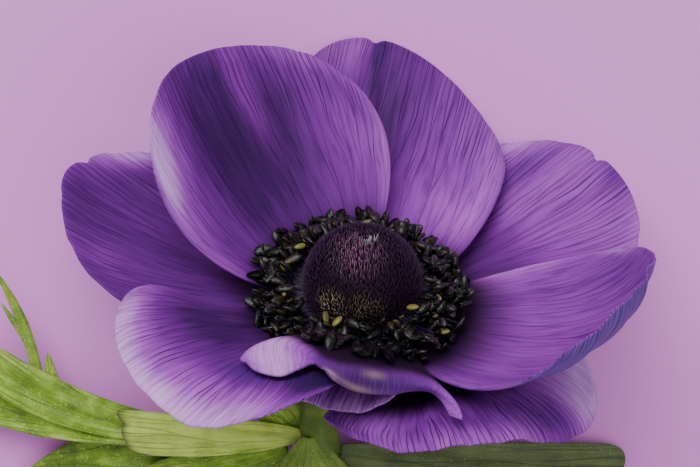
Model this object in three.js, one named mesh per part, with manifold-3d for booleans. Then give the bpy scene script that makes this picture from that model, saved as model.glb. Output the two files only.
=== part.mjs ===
// An anemone flower, cut and laid down: one open bloom on its stem, with the leafy ruff below it.
// Millimetres, +Z up. The flower lies on the plane z = 0: the stem runs along -Y, and the bloom
// leans on its far tepals and looks up and towards +Y.
import * as THREE from "three";
import { mergeVertices } from "three/addons/utils/BufferGeometryUtils.js";
import Module from "manifold-3d";

const wasm = await Module();
wasm.setup();

// ---------------------------------------------------------------- driving dimensions

const BLOOM_TILT = 48; // degrees from the vertical to the bloom's axis
const BLOOM_CENTRE = [11.6, 55.1, 22.03]; // middle of the tepals' base ring
const NODE_AT = [-5.6, -19.1, -15.6]; // the stem's node that carries the ruff, from the bloom's centre

const TEPAL_THICKNESS = 0.7;
const TEPAL_RING = 5.6; // distance of the tepals' claws from the bloom's axis
const LEAF_THICKNESS = 0.8;

const STEM_RADIUS = 2.1;
const NODE_SWELLING = [3, 3.4, 2.5]; // half sizes
const RECEPTACLE_RADIUS = 5.2;
const RECEPTACLE_TOP = 1.0; // along the bloom's axis
const RECEPTACLE_BOTTOM = -4.0;
const RECEPTACLE_NECK = -7.2;

const DOME_RADIUS = 7.6;
const DOME_CENTRE = 4.0; // along the bloom's axis
const DOME_UNDERSIDE = 4.2;
const DOME_NECK_RADIUS = 3.8;
const CARPEL_HEIGHT = 0.3; // how far the carpels' tips stand out of the dome

const STAMEN_COLLAR = [4.2, 5.1, 6.5]; // inner and outer radius, and that of the brim
const STAMEN_BRIM = [2.3, 3.2]; // the brim's lowest and highest point
const STAMEN_COUNT = 71;
const STAMEN_RINGS = [
  { radius: 9.1, height: 6.4 },
  { radius: 12.1, height: 3.9 },
  { radius: 10.6, height: 5.2 },
  { radius: 13.4, height: 3 },
  { radius: 11.3, height: 4.6 },
];
const ANTHER = [0.9, 0.56, 0.5]; // half sizes
const FILAMENT_RADIUS = 0.36;
const KNEE_RADIUS = 8.5; // the filaments run out under the dome this far before they rise
const KNEE_HEIGHT = 2.8;
const FIT_GAP = 0.3; // between pieces that touch

// The tepals. Each rises from its claw, at `bearing` round the bloom's axis and `layer` above its
// base plane. Lengths in mm, angles in degrees. `rise` is the blade's slope at its claw, middle and
// tip, `swing` its sideways heading at the claw and how much that changes by the tip, `twist` its
// roll at both ends, `cup` how much its sides turn up, `rim` how much each margin turns up beyond
// that, `sides` how soon each side reaches full width, `shoulder` the share of the length at which
// the sides end, and `round` how round the end is.
const TEPALS = {
  tepal_back_left: {
    bearing: 121.8, layer: 0, length: 34.8, half_width: 17.5, shoulder: 0.55, round: 2.1, skew: 0.05,
    swing: [7.6, -3], rise: [17.7, 37.7, 47.6], twist: [-4.6, 10.5], cup: [13.7, 38.6],
    rim: [0.4, -8.9], sides: [0.64, 0.64],
  },
  tepal_back_middle: {
    bearing: 77.5, layer: -1.3, length: 36.5, half_width: 15.2, shoulder: 0.67, round: 2.03, skew: 0.15,
    swing: [7.5, -14.2], rise: [17, 12.3, 48.8], twist: [0, 11.5], cup: [19, 13.8],
    rim: [-5.2, 0.2], sides: [0.34, 0.34], notches: [[0.42, 0.7, 0.05]],
  },
  tepal_back_right: {
    bearing: 32.1, layer: -2.4, length: 35.1, half_width: 16.8, shoulder: 0.52, round: 2.1, skew: 0.03,
    swing: [1.3, -5.5], rise: [7.1, 8.7, 30.6], twist: [-3, -1.6], cup: [17.8, 5.9],
    rim: [-1, -2.3], sides: [3.4, 1.3], notches: [[0.25, 0.8, 0.05]],
  },
  tepal_right: {
    bearing: 338.9, layer: 0, length: 39, half_width: 14.6, shoulder: 0.55, round: 2.36, skew: -0.1,
    swing: [-6.3, 11], rise: [7.5, 24.4, 89.9], twist: [-1.9, -7], cup: [3, 36.5],
    rim: [44.4, 5.5], sides: [0.74, 0.74],
  },
  tepal_front_right: {
    bearing: 315.5, layer: -3.4, length: 25.6, half_width: 17.9, shoulder: 0.43, round: 3.07, skew: -0.08,
    swing: [-2.3, -25.7], rise: [8.5, 16.1, 8.4], twist: [5, -18.4], cup: [34.2, -36.9],
    rim: [57.5, 55.3], sides: [2, 3.2],
  },
  tepal_front_inner: {
    bearing: 259.9, layer: -0.7, length: 15.4, half_width: 9.5, shoulder: 0.59, round: 2.54, skew: 0.03,
    swing: [-6.3, -8.6], rise: [6.2, 21.4, -13], twist: [2, 3.1], cup: [11.4, 7],
    rim: [-1, 4.8], sides: [1, 1],
  },
  tepal_front_left: {
    bearing: 220.3, layer: 0.5, length: 30.8, half_width: 15.8, shoulder: 0.59, round: 2.4, skew: 0.06,
    swing: [8.7, -3.3], rise: [10.2, 24.7, -10.2], twist: [13.4, 5.7], cup: [11, 24.9],
    rim: [38.3, -3.1], sides: [0.97, 3],
  },
  tepal_left: {
    bearing: 158.6, layer: -1.7, length: 38.5, half_width: 16.4, shoulder: 0.57, round: 1.62, skew: -0.06,
    swing: [-3, -3.2], rise: [9.8, 9.7, 31], twist: [2.7, 11.6], cup: [16.6, 5.4],
    rim: [-3.8, 2.2], sides: [1, 3], notches: [[-0.22, 0.9, 0.06]],
  },
};
const CLAW_SHARE = 0.16; // a tepal's half width at its claw, as a share of its full half width

// The small curled tepal in front: guide points from its left lobe to the hook at its right end,
// in the bloom's own frame. Its blade passes under the anthers, rises to the crest and ends at
// the wavy free margin.
const CURLED_CLAW = { layer: 0.9, from: 264, to: 279 };
const CURLED_UNDER = { radius: 9.6, height: [3.8, 2.2], from: 243, to: 298 };
const CURLED_CREST = [
  [-13.6, -17.8, 9.2], [-12.5, -15, 8], [-9.8, -13.2, 7.2], [-7.1, -14.9, 7.6], [-5.2, -19.3, 10.1],
  [-3, -22, 11.6], [-0.1, -20.2, 9.2], [3.2, -18.9, 7.2], [6.1, -18.4, 6.2], [8.6, -19.1, 5.6],
  [10.4, -21, 5.2], [11.2, -23, 5],
];
const CURLED_MARGIN = [
  [-13.6, -19.8, 10], [-12.2, -22.2, 11.2], [-9.5, -23.9, 12.2], [-7.3, -22.3, 11.7], [-5.4, -20.9, 11],
  [-3.3, -25.7, 13.4], [-0.7, -23.3, 8.9], [2.9, -21.3, 6.2], [5.8, -19.7, 5.2], [7.9, -19.4, 4.8],
  [9.2, -20.4, 4.4], [10.2, -23, 4.4],
];

// The stem's axis from the receptacle's neck, through the node, to the cut end.
const STEM_ROUTE = [
  [-4, -9.8, -9.2], [-6.1, -14.4, -12.9], NODE_AT, [-6, -26, -18.2], [-7.2, -36, -19.5],
  [-8.4, -52, -19.9], [-9.6, -72, -19.9], [-9.4, -96, -19.9], [-7.4, -122, -19.9], [-4.2, -146, -19.9],
];

// Leaf blades of the ruff, each rooted at `root` from the bloom's centre. The other terms are a
// tepal's; bearings are seen from above, and a notch is its place across the blade, depth and width.
const RUFF = {
  bract_left: [
    { root: [-9.1, -18.4, -15.7], bearing: 181, length: 52, half_width: 3.1, shoulder: 0.72, round: 2,
      skew: 0.03, swing: [0, -26], rise: [4, -8, -10], cup: [35, 12], claw: 0.5, sides: [0.9, 0.8],
      notches: [[-0.35, 9, 0.14], [0.4, 7, 0.14]], faces: [14, 10] },
    { root: [-11.5, -19.3, -16], bearing: 192, length: 38, half_width: 5, shoulder: 0.6, round: 2,
      skew: 0, swing: [0, -14], rise: [-14, -9, 0], cup: [10, -10], claw: 0.3, sides: [1, 1],
      notches: [[-0.4, 8, 0.15], [0.35, 6, 0.15]], faces: [9, 10] },
    { root: [-10.8, -20, -15.9], bearing: 207, length: 20, half_width: 4.4, shoulder: 0.7, round: 2.4,
      skew: 0, swing: [0, -8], rise: [-12, -8, -4], cup: [12, 8], claw: 0.35, sides: [0.8, 0.8],
      faces: [6, 6] },
    { root: [-43, -13.7, -19.2], bearing: 95, length: 18, half_width: 0.75, shoulder: 0.5, round: 1.6,
      skew: 0, swing: [0, 36], rise: [6, 14, 16], cup: [10, 0], claw: 0.9, sides: [1, 1], faces: [7, 4] },
    { root: [-44.3, -6.6, -17.8], bearing: 106, length: 8.8, half_width: 0.6, shoulder: 0.4, round: 1.6,
      skew: 0, swing: [0, 26], rise: [10, 20, 20], cup: [10, 0], claw: 0.9, sides: [1, 1], faces: [4, 4] },
    { root: [-41.8, -14, -19], bearing: 95, length: 8, half_width: 1.2, shoulder: 0.2, round: 1.2,
      skew: 0, swing: [0, 6], rise: [10, 14, 14], cup: [10, 0], claw: 0.9, sides: [1, 1], faces: [4, 4] },
  ],
  bract_right: [
    { root: [-1.9, -19.8, -15.8], bearing: 346, length: 38, half_width: 5.2, shoulder: 0.68, round: 2.2,
      skew: 0.05, swing: [0, 12], rise: [2, -9, -14], cup: [20, -10], claw: 0.35, sides: [0.8, 0.8],
      notches: [[0.5, 6, 0.15], [-0.2, 7, 0.15]], faces: [12, 12] },
    { root: [0.8, -21, -16], bearing: 322, length: 26, half_width: 4.4, shoulder: 0.6, round: 2,
      skew: 0, swing: [0, 12], rise: [-12, -14, -6], cup: [10, -10], claw: 0.35, sides: [0.8, 0.8],
      notches: [[0.1, 5, 0.2]], faces: [7, 8] },
  ],
  bract_front: [
    { root: [-7, -18.2, -12], bearing: 268, length: 36, half_width: 6.6, shoulder: 0.55, round: 2,
      skew: 0, swing: [0, 4], rise: [-8, -8, -4], cup: [-30, -20], claw: 0.3, sides: [0.7, 0.7],
      notches: [[-0.45, 9, 0.15], [0.4, 10, 0.15]], faces: [9, 12] },
    { root: [-6, -18.8, -12.1], bearing: 306, length: 26, half_width: 3.4, shoulder: 0.6, round: 2,
      skew: 0, swing: [0, -10], rise: [-8, -12, -12], cup: [-12, -10], claw: 0.4, sides: [0.8, 0.8],
      faces: [6, 6] },
    { root: [-7.6, -19.2, -12.2], bearing: 250, length: 25, half_width: 3.6, shoulder: 0.6, round: 2,
      skew: 0, swing: [0, 6], rise: [-12, -14, -8], cup: [-12, -10], claw: 0.4, sides: [0.8, 0.8],
      faces: [6, 6] },
  ],
};

// ---------------------------------------------------------------- materials

const matte = (color, roughness) => new THREE.MeshStandardMaterial({ color, roughness, metalness: 0 });
const PETAL = matte(0x6b3fa0, 0.6);
const PETAL_PALE = matte(0x9a6cc4, 0.55);
const CARPEL = matte(0x1d1230, 0.5);
const STAMEN = matte(0x161a2c, 0.45);
const LEAF = matte(0x7fa33f, 0.6);
const STALK = matte(0x6f9a35, 0.55);

// ---------------------------------------------------------------- shared helpers

const rad = THREE.MathUtils.degToRad;
const mix = THREE.MathUtils.lerp;
const v3 = ([x, y, z]) => new THREE.Vector3(x, y, z);

// Repeatable random numbers from 0 to 1.
function randomFrom(seed) {
  let state = seed;
  return () => {
    state = (state * 1664525 + 1013904223) % 4294967296;
    return state / 4294967296;
  };
}

function solidOf(geometry) {
  const bare = geometry.clone();
  bare.deleteAttribute("normal");
  bare.deleteAttribute("uv");
  const merged = mergeVertices(bare, 1e-4);
  const corners = merged.index.array;
  const kept = [];
  for (let i = 0; i < corners.length; i += 3) {
    const [a, b, c] = corners.slice(i, i + 3);
    if (a !== b && b !== c && c !== a) kept.push(a, b, c);
  }
  return new wasm.Manifold(
    new wasm.Mesh({
      numProp: 3,
      vertProperties: merged.attributes.position.array,
      triVerts: new Uint32Array(kept),
    }),
  );
}

function geometryOf(solid) {
  const mesh = solid.getMesh();
  const geometry = new THREE.BufferGeometry();
  geometry.setAttribute("position", new THREE.BufferAttribute(mesh.vertProperties, 3));
  geometry.setIndex(new THREE.BufferAttribute(mesh.triVerts, 1));
  geometry.computeVertexNormals();
  return geometry;
}

const fuse = (solids) => solids.reduce((whole, next) => whole.add(next));

function named(name, geometry, material) {
  const mesh = new THREE.Mesh(geometry, material);
  mesh.name = name;
  return mesh;
}

// A closed sheet of even thickness on a surface(u, w) with u from 0 to 1 and w from -1 to 1. Both
// faces are split into triangles alike.
function sheetGeometry(surface, lengthwise, across, thickness) {
  const columns = across + 1;
  const layer = (lengthwise + 1) * columns;
  const points = [];
  const step = 0.01;
  for (const side of [0.5, -0.5]) {
    for (let i = 0; i <= lengthwise; i++) {
      for (let j = 0; j <= across; j++) {
        const u = i / lengthwise;
        const w = (2 * j) / across - 1;
        const un = THREE.MathUtils.clamp(u, 0.02, 0.97);
        const wn = THREE.MathUtils.clamp(w, -0.94, 0.94);
        const along = surface(un + step, wn).sub(surface(un - step, wn));
        const over = surface(un, wn + step).sub(surface(un, wn - step));
        const normal = along.cross(over).normalize();
        points.push(surface(u, w).addScaledVector(normal, side * thickness));
      }
    }
  }
  const at = (side, i, j) => side * layer + i * columns + j;
  const faces = [];
  const quad = (a, b, c, d) => faces.push(a, b, c, a, c, d);
  for (let i = 0; i < lengthwise; i++) {
    for (let j = 0; j < across; j++) {
      const [a, b, c, d] = [[i, j], [i + 1, j], [i + 1, j + 1], [i, j + 1]];
      quad(at(0, ...a), at(0, ...b), at(0, ...c), at(0, ...d));
      faces.push(at(1, ...a), at(1, ...c), at(1, ...b), at(1, ...a), at(1, ...d), at(1, ...c));
    }
  }
  for (let i = 0; i < lengthwise; i++) {
    quad(at(0, i, 0), at(1, i, 0), at(1, i + 1, 0), at(0, i + 1, 0));
    quad(at(0, i + 1, across), at(1, i + 1, across), at(1, i, across), at(0, i, across));
  }
  for (let j = 0; j < across; j++) {
    quad(at(0, 0, j + 1), at(1, 0, j + 1), at(1, 0, j), at(0, 0, j));
    quad(at(0, lengthwise, j), at(1, lengthwise, j), at(1, lengthwise, j + 1), at(0, lengthwise, j + 1));
  }
  const geometry = new THREE.BufferGeometry().setFromPoints(points);
  geometry.setIndex(faces);
  geometry.computeVertexNormals();
  return geometry;
}

// ---------------------------------------------------------------- blades: tepals and leaves

const CENTRE_STEPS = 48;
const CENTRE_REACH = 1.15; // a little past the tip, for a skewed end
const ARC_STEPS = 10;

// The middle surface of a blade as a function of u, from its claw to its end, and w, from its
// right margin to its left one.
function bladeSurface(blade) {
  const [riseClaw, riseMiddle, riseTip] = blade.rise.map(rad);
  const slope = (s) =>
    riseClaw + (4 * riseMiddle - 3 * riseClaw - riseTip) * s + (2 * riseClaw - 4 * riseMiddle + 2 * riseTip) * s * s;
  const heading = (s) => rad(blade.swing[0] + blade.swing[1] * s);
  const claw = blade.claw ?? CLAW_SHARE;
  const twist = blade.twist ?? [0, 0];
  const rim = blade.rim ?? [0, 0];

  const centre = [new THREE.Vector3()];
  const stride = (CENTRE_REACH / CENTRE_STEPS) * blade.length;
  for (let i = 0; i < CENTRE_STEPS; i++) {
    const s = ((i + 0.5) * CENTRE_REACH) / CENTRE_STEPS;
    const step = new THREE.Vector3(
      Math.cos(slope(s)) * Math.cos(heading(s)),
      Math.cos(slope(s)) * Math.sin(heading(s)),
      Math.sin(slope(s)),
    );
    centre.push(centre[i].clone().addScaledVector(step, stride));
  }
  const centreAt = (s) => {
    const place = THREE.MathUtils.clamp((s / CENTRE_REACH) * CENTRE_STEPS, 0, CENTRE_STEPS - 1e-6);
    const i = Math.floor(place);
    return centre[i].clone().lerp(centre[i + 1], place - i);
  };

  const reach = (v) => {
    const end = Math.pow(Math.max(0, 1 - Math.abs(v) ** blade.round), 1 / blade.round);
    let share = (blade.shoulder + (1 - blade.shoulder) * end) * (1 + blade.skew * v);
    for (const [place, depth, width] of blade.notches ?? []) {
      share -= (depth / blade.length) * Math.exp(-(((v - place) / width) ** 2));
    }
    return share;
  };

  return (u, w) => {
    const v = Math.sin((Math.PI / 2) * w);
    const s = u * reach(v);
    const sides = v > 0 ? blade.sides[1] : blade.sides[0];
    const fullness = claw + (1 - claw) * Math.sin((Math.PI / 2) * Math.min(u, 1)) ** sides;
    const halfWidth = blade.half_width * fullness;
    const cup = rad(mix(blade.cup[0], blade.cup[1], s));
    const turned = rad(v > 0 ? rim[1] : rim[0]) * Math.max(s, 0) ** 1.5;
    let sideways = 0;
    let upwards = 0;
    for (let i = 0; i < ARC_STEPS; i++) {
      const part = (v * (i + 0.5)) / ARC_STEPS;
      const angle = cup * part + turned * Math.sign(part) * part ** 4;
      sideways += Math.cos(angle) / ARC_STEPS;
      upwards += Math.sin(angle) / ARC_STEPS;
    }
    const [b, g] = [slope(s), heading(s)];
    const up = new THREE.Vector3(-Math.sin(b) * Math.cos(g), -Math.sin(b) * Math.sin(g), Math.cos(b));
    const left = new THREE.Vector3(-Math.sin(g), Math.cos(g), 0);
    const roll = rad(mix(twist[0], twist[1], s));
    const across = left.clone().multiplyScalar(Math.cos(roll)).addScaledVector(up, Math.sin(roll));
    const face = up.multiplyScalar(Math.cos(roll)).addScaledVector(left, -Math.sin(roll));
    return centreAt(s)
      .addScaledVector(across, halfWidth * v * sideways)
      .addScaledVector(face, halfWidth * v * upwards);
  };
}

// The blade turned to its bearing round a vertical axis, with its claw `out` from that axis.
function placedBlade(blade, out, root) {
  const surface = bladeSurface(blade);
  const axis = new THREE.Vector3(0, 0, 1);
  return (u, w) => {
    const point = surface(u, w);
    point.x += out;
    return point.applyAxisAngle(axis, rad(blade.bearing)).add(root);
  };
}

const tepalSurface = (tepal) => placedBlade(tepal, TEPAL_RING, new THREE.Vector3(0, 0, tepal.layer));

const guide = (points) => new THREE.CatmullRomCurve3(points, false, "catmullrom", 0.5);
const polar = (radius, bearing, z) =>
  new THREE.Vector3(radius * Math.cos(rad(bearing)), radius * Math.sin(rad(bearing)), z);

function curledSurface() {
  const last = CURLED_CREST.length - 1;
  const claw = CURLED_CREST.map((_, i) =>
    polar(TEPAL_RING, mix(CURLED_CLAW.from, CURLED_CLAW.to, i / last), CURLED_CLAW.layer),
  );
  const under = CURLED_CREST.map((_, i) =>
    polar(
      CURLED_UNDER.radius,
      mix(CURLED_UNDER.from, CURLED_UNDER.to, i / last),
      mix(CURLED_UNDER.height[0], CURLED_UNDER.height[1], i / last),
    ),
  );
  const rows = [claw, under, CURLED_CREST.map(v3), CURLED_MARGIN.map(v3)].map(guide);
  return (u, w) => {
    const t = THREE.MathUtils.clamp((w + 1) / 2, 0, 1);
    return guide(rows.map((row) => row.getPoint(t))).getPoint(THREE.MathUtils.clamp(u, 0, 1));
  };
}

// ---------------------------------------------------------------- pistil and stamens

// The dome of carpels on its short neck. The carpels' tips are raised points in offset rows.
function pistilGeometry() {
  const rows = 13;
  const columns = 32;
  const lowest = Math.asin((DOME_UNDERSIDE - DOME_CENTRE) / DOME_RADIUS);
  const profile = [
    new THREE.Vector2(0, RECEPTACLE_TOP + FIT_GAP),
    new THREE.Vector2(DOME_NECK_RADIUS, RECEPTACLE_TOP + FIT_GAP),
    new THREE.Vector2(DOME_NECK_RADIUS, DOME_UNDERSIDE),
  ];
  for (let i = 0; i < rows; i++) {
    const angle = mix(lowest, Math.PI / 2, i / rows);
    profile.push(new THREE.Vector2(DOME_RADIUS * Math.cos(angle), DOME_CENTRE + DOME_RADIUS * Math.sin(angle)));
  }
  profile.push(new THREE.Vector2(0, DOME_CENTRE + DOME_RADIUS));
  const geometry = new THREE.LatheGeometry(profile, columns);
  const place = geometry.attributes.position;
  const point = new THREE.Vector3();
  const middle = new THREE.Vector3(0, DOME_CENTRE, 0);
  for (let k = 0; k < place.count; k++) {
    const row = (k % profile.length) - 3;
    const column = Math.floor(k / profile.length) % columns;
    if (row < 1 || row >= rows) continue;
    point.fromBufferAttribute(place, k).sub(middle);
    const raised = (row + column) % 2 === 0 ? CARPEL_HEIGHT : -CARPEL_HEIGHT / 2;
    point.setLength(point.length() + raised * Math.min(1, (rows - row) / 4)).add(middle);
    place.setXYZ(k, point.x, point.y, point.z);
  }
  geometry.rotateX(Math.PI / 2);
  return geometry;
}

// Highest point of the tepals near a place in the bloom's frame.
function heightsOf(surfaces) {
  const samples = [];
  const steps = 40;
  for (const surface of surfaces) {
    for (let i = 0; i <= steps; i++) {
      for (let j = 0; j <= steps; j++) samples.push(surface(i / steps, (2 * j) / steps - 1));
    }
  }
  return (x, y, near) => {
    let top = -Infinity;
    for (const p of samples) {
      if (Math.abs(p.x - x) < near && Math.abs(p.y - y) < near) top = Math.max(top, p.z);
    }
    return top;
  };
}

// A three-sided filament through a root, a knee and a tip that all lie in one upright plane with
// the bloom's axis.
function filament(route) {
  const side = new THREE.Vector3(0, 0, 1).cross(route[0]).normalize();
  const last = route.length - 1;
  const points = [];
  const faces = [0, 2, 1, 3 * last, 3 * last + 1, 3 * last + 2];
  route.forEach((point, i) => {
    const along = route[Math.min(i + 1, last)].clone().sub(route[Math.max(i - 1, 0)]).normalize();
    const face = along.cross(side);
    for (let corner = 0; corner < 3; corner++) {
      const angle = rad(90 + 120 * corner);
      const across = side.clone().multiplyScalar(Math.cos(angle)).addScaledVector(face, Math.sin(angle));
      points.push(point.clone().addScaledVector(across, FILAMENT_RADIUS));
      if (i === last) continue;
      const [a, b] = [3 * i + corner, 3 * i + ((corner + 1) % 3)];
      faces.push(a, b, b + 3, a, b + 3, a + 3);
    }
  });
  const geometry = new THREE.BufferGeometry().setFromPoints(points);
  geometry.setIndex(faces);
  return solidOf(geometry);
}

function stamenSolid(tepalTop) {
  const random = randomFrom(7);
  const [inner, outer, brim] = STAMEN_COLLAR;
  const [brimLow, brimHigh] = STAMEN_BRIM;
  const low = RECEPTACLE_TOP + FIT_GAP;
  const outline = [[inner, low], [outer, low], [outer, brimLow], [brim, brimLow + 0.2], [brim, brimHigh - 0.1]];
  outline.push([inner, brimHigh], [inner, low]);
  const ring = new THREE.LatheGeometry(outline.map(([r, z]) => new THREE.Vector2(r, z)), 24);
  const parts = [solidOf(ring.rotateX(Math.PI / 2))];
  const clearance = 1.15;
  const filamentClearance = 0.85;
  for (let i = 0; i < STAMEN_COUNT; i++) {
    const { radius, height } = STAMEN_RINGS[i % STAMEN_RINGS.length];
    const bearing = ((i + 0.5 * (random() - 0.5)) * 360) / STAMEN_COUNT;
    const tip = polar(radius + 0.9 * (random() - 0.5), bearing, height + 1.4 * (random() - 0.5));
    const root = polar(brim - 0.5, bearing, (brimLow + brimHigh) / 2);
    const knee = polar(KNEE_RADIUS, bearing, KNEE_HEIGHT);
    knee.z = Math.max(knee.z, tepalTop(knee.x, knee.y, 0.6) + filamentClearance);
    tip.z = Math.max(tip.z, tepalTop(tip.x, tip.y, 0.9) + clearance);
    for (let share = 0.2; share < 1; share += 0.2) {
      const between = knee.clone().lerp(tip, share);
      const needed = tepalTop(between.x, between.y, 0.6) + filamentClearance - between.z;
      if (needed > 0) tip.z += needed / share;
    }
    parts.push(filament([root, knee, tip]));
    const anther = new THREE.IcosahedronGeometry(1, 0);
    anther.scale(...ANTHER);
    anther.rotateY(0.9 * (random() - 0.5));
    anther.rotateZ(rad(bearing) + Math.PI * (random() - 0.5));
    parts.push(solidOf(anther.translate(tip.x, tip.y, tip.z)));
  }
  return fuse(parts);
}

// ---------------------------------------------------------------- stem and ruff

// A round rod along a smooth route.
function rodAlong(points, radius, steps, sides) {
  const outline = new THREE.Shape();
  outline.absarc(0, 0, radius, 0, 2 * Math.PI);
  return new THREE.ExtrudeGeometry(outline, {
    steps,
    curveSegments: sides,
    extrudePath: new THREE.CatmullRomCurve3(points, false, "centripetal"),
    bevelEnabled: false,
  });
}

// The receptacle under the bloom, a shallow disc on a cone that narrows into the stem.
function receptacleGeometry() {
  const profile = [
    [0, RECEPTACLE_NECK],
    [STEM_RADIUS, RECEPTACLE_NECK],
    [STEM_RADIUS + 0.9, RECEPTACLE_BOTTOM - 1.4],
    [RECEPTACLE_RADIUS, RECEPTACLE_BOTTOM],
    [RECEPTACLE_RADIUS, RECEPTACLE_TOP],
    [0, RECEPTACLE_TOP],
  ];
  return new THREE.LatheGeometry(profile.map(([r, z]) => new THREE.Vector2(r, z)), 24).rotateX(Math.PI / 2);
}

const bloomTurn = new THREE.Matrix4().makeRotationX(-rad(BLOOM_TILT));

function stemSolid() {
  const axis = new THREE.Vector3(0, 0, 1).applyMatrix4(bloomTurn);
  const top = axis.clone().multiplyScalar(RECEPTACLE_BOTTOM);
  const neck = axis.clone().multiplyScalar(RECEPTACLE_NECK);
  const rod = solidOf(rodAlong([top, neck, ...STEM_ROUTE.map(v3)], STEM_RADIUS, 44, 5));
  const swelling = new THREE.IcosahedronGeometry(1, 1).scale(...NODE_SWELLING).translate(...NODE_AT);
  return fuse([rod, solidOf(receptacleGeometry().applyMatrix4(bloomTurn)), solidOf(swelling)]);
}

function leafSolid(blades) {
  return fuse(
    blades.map((blade) => {
      const surface = placedBlade(blade, 0, v3(blade.root));
      const [lengthwise, across] = blade.faces;
      return solidOf(sheetGeometry(surface, lengthwise, across, LEAF_THICKNESS));
    }),
  );
}

// ---------------------------------------------------------------- the flower

const flower = new THREE.Group();
flower.position.set(...BLOOM_CENTRE);

const bloom = new THREE.Group();
bloom.applyMatrix4(bloomTurn);
flower.add(bloom);

const surfaces = Object.entries(TEPALS).map(([name, tepal]) => [name, tepalSurface(tepal)]);
for (const [name, surface] of surfaces) {
  const small = name === "tepal_front_inner";
  bloom.add(named(name, sheetGeometry(surface, small ? 8 : 11, small ? 10 : 12, TEPAL_THICKNESS), PETAL));
}
const curled = curledSurface();
bloom.add(named("tepal_curled", sheetGeometry(curled, 8, 24, TEPAL_THICKNESS), PETAL_PALE));

const tepalTop = heightsOf([...surfaces.map(([, surface]) => surface), curled]);
bloom.add(named("pistil", pistilGeometry(), CARPEL));
bloom.add(named("stamens", geometryOf(stamenSolid(tepalTop)), STAMEN));

flower.add(named("stem", geometryOf(stemSolid()), STALK));
for (const [name, blades] of Object.entries(RUFF)) {
  flower.add(named(name, geometryOf(leafSolid(blades)), LEAF));
}

export default flower;
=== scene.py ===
"""An anemone flower, cut and laid down: violet tepals round a dark dome, on a stem with a leafy ruff."""

import math
import random
from functools import partial

import bmesh
import bpy
from mathutils import Matrix, Vector, bvhtree, noise


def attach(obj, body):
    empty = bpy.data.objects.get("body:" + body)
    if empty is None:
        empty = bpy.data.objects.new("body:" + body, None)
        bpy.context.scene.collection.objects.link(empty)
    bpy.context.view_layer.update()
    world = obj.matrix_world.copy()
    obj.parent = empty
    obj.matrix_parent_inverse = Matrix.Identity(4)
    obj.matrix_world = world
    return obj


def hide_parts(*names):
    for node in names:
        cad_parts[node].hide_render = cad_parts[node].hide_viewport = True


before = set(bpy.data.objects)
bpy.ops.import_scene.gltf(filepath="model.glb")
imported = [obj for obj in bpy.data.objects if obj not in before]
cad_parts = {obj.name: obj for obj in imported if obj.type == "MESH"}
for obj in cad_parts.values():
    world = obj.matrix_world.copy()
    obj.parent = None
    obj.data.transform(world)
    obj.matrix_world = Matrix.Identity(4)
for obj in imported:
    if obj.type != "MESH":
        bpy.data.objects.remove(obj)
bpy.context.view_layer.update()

bl_info = {
    "name": "Anemone flower",
    "version": (1, 0, 0),
    "blender": (4, 5, 0),
    "location": "View3D > Sidebar > Anemone",
    "description": "Builds an anemone flower, petal by petal, and a plain stage to show it on",
    "category": "Add Mesh",
}

MM = 0.001

# The bloom's place and tilt, in millimetres and degrees. The bloom's own frame has +Z along its
# axis; the flower's frame has the same origin and the floor's +Z.
BLOOM_TILT = 48
BLOOM_CENTRE = Vector((11.6, 55.1, 22.03))
FLOWER = Matrix.Scale(MM, 4) @ Matrix.Translation(BLOOM_CENTRE)
BLOOM = FLOWER @ Matrix.Rotation(-math.radians(BLOOM_TILT), 4, "X")

# The camera looks straight down at the bloom's face.
CAMERA_FROM_BLOOM = Vector((-1.52, 9.24, 258.4))
CAMERA_LENS = 105

# The bloom's middle, in millimetres from the centre of the tepals' base plane.
TEPAL_RING = 5.6
RECEPTACLE_RADIUS = 5.2
RECEPTACLE_TOP = 1.0
RECEPTACLE_BOTTOM = -4.0
RECEPTACLE_NECK = -7.2
STEM_RADIUS = 2.1
DOME_RADIUS = 7.6
DOME_CENTRE = 4.0
DOME_UNDERSIDE = 4.2
DOME_NECK_RADIUS = 3.8

# The collar that the filaments grow from, as (radius, height).
COLLAR = [(4.2, 1.3), (5.1, 1.3), (5.1, 2.3), (6.5, 2.5), (6.5, 3.1), (4.2, 3.2)]

# Styles on the dome, in millimetres: the room they take, how deep they root, their lengths, and how
# far below the dome's centre the lowest ones stand.
STYLE_ROOM = 0.75
STYLE_ROOT = 0.2
STYLE_LENGTH = (1.05, 1.6)
STYLE_LOWEST = 1.6
TUFT_FOOT = (0.9, -0.5)
TUFT_STYLES = 30

# Stamens, as (radius, height) in millimetres: where one roots, where it leaves the collar, and the
# tips of the innermost and the outermost ones.
STAMEN_ROOT = (6.1, 2.9)
STAMEN_KNEE = (8.4, 2.8)
STAMEN_TIPS = [(8.7, 6.2), (13.1, 2.6)]
FILAMENT_RADIUS = 0.2
ANTHER_HALF_SIZE = (1.15, 0.64, 0.5)
ANTHER_CLEARANCE = 0.75
FILAMENT_CLEARANCE = 0.4
# Between these heights the tepals' tops are looked for, from above.
TOPS_FROM_TO = (14, -10)

# The turn from one style or stamen to the next, which spreads them evenly.
GOLDEN_ANGLE = math.pi * (3 - math.sqrt(5))
LATHE_STEPS = 48
STEM_STEPS = 180
# The share of a sheet's width and length over which its margin grows thinner.
RIM_SHARE = 0.06
# Faces along and across the sheets.
BROAD_SHEET = (96, 92)
SMALL_SHEET = (60, 56)
CURLED_SHEET = (44, 150)
LEAF_SHEET = (90, 44)
SLIM_LEAF_SHEET = (40, 8)

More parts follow.
